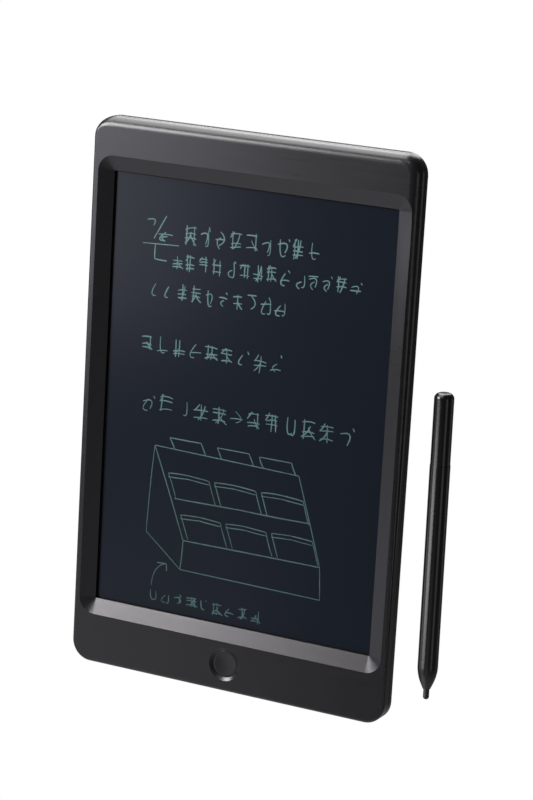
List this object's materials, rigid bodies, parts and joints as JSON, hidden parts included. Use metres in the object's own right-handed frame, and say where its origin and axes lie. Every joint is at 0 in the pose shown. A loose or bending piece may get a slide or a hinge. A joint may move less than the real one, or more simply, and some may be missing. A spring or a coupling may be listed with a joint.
{
  "type": "electronic memo tablet",
  "caption": "Thin handheld liquid-crystal memo tablet with bevelled screen frame, round erase button, rear battery door and a separate stylus.",
  "frame": {"origin": "middle of the flat rear face", "axes": "+Z towards the top edge, +Y out of the rear face, so the screen faces -Y"},
  "size_m": [0.1847, 0.0092, 0.257],
  "materials": {
    "case_plastic": "fine satin ABS",
    "button_plastic": "satin ABS, dished",
    "writing_film": "clear hard-coated polyester over a dark display",
    "lcd_layer": "laminated crystal film",
    "dark_film": "black absorbing film",
    "stiffener": "rolled sheet",
    "bonding": "black double-sided foam tape",
    "foam": "closed-cell foam",
    "board": "green solder mask on glass-epoxy",
    "chip": "moulded epoxy",
    "ceramic": "fired ceramic",
    "socket": "ivory nylon",
    "flex": "amber polyimide",
    "switch_case": "black moulded nylon",
    "plunger": "orange-red moulded nylon",
    "steel": "zinc-plated",
    "contact": "nickel-plated spring sheet",
    "cell": "nickel-plated can",
    "stylus_plastic": "gloss black ABS",
    "nib_plastic": "black acetal"
  },
  "bodies": {
    "case": {"front_housing": "case_plastic", "rear_housing": "case_plastic", "bonding_frame": "bonding", "writing_film": "writing_film", "lcd_layer": "lcd_layer", "dark_film": "dark_film", "backing_plate": "stiffener", "foam_pads": "foam", "erase_switch": "switch_case", "control_board": "board", "board_screws": "steel", "display_flex": "flex", "flex_socket": "socket", "driver_chip": "chip", "board_components": "ceramic", "case_screws": "steel", "lock_switch": "switch_case", "battery_leaf": "contact", "battery_clip": "contact"},
    "button": {"erase_button": "button_plastic"},
    "plunger": {"switch_plunger": "plunger"},
    "lock": {"lock_slider": "button_plastic", "lock_switch_lever": "switch_case"},
    "cell": {"coin_cell": "cell"},
    "door": {"battery_door": "case_plastic"},
    "door_screw": {"battery_door_screw": "steel"},
    "stylus": {"stylus_nib": "nib_plastic", "stylus_nose": "stylus_plastic", "stylus_barrel": "stylus_plastic", "stylus_cap": "stylus_plastic"}
  },
  "joints": [
    {"name": "erase_button_press", "type": "slide", "parent": "case", "child": "button", "axis": [0, 1, 0], "range_m": [0, 0.0004], "stiffness_N_per_m": 800, "springref_m": -0.0006},
    {"name": "switch_plunger_press", "type": "slide", "parent": "case", "child": "plunger", "axis": [0, 1, 0], "range_m": [0, 0.0004]},
    {"name": "erase_lock_slide", "type": "slide", "parent": "case", "child": "lock", "axis": [1, 0, 0], "range_m": [0, 0.002]},
    {"name": "battery_door_lift", "type": "slide", "parent": "case", "child": "door", "axis": [0, 1, 0], "range_m": [0, 0.03]},
    {"name": "coin_cell_lift", "type": "slide", "parent": "case", "child": "cell", "axis": [0, 1, 0], "range_m": [0, 0.015]},
    {"name": "battery_door_screw_turn", "type": "hinge", "parent": "door", "child": "door_screw", "pos_m": [0.0658, -0.0005, -0.1133], "axis": [0, 1, 0], "continuous": true},
    {"name": "stylus_lift", "type": "slide", "parent": "case", "child": "stylus", "axis": [0, 0, 1], "range_m": [0, 0.15]}
  ],
  "couplings": [
    {"joint": "switch_plunger_press", "follows": "erase_button_press", "ratio": 1},
    {"joint": "coin_cell_lift", "follows": "battery_door_lift", "ratio": 0.5}
  ]
}
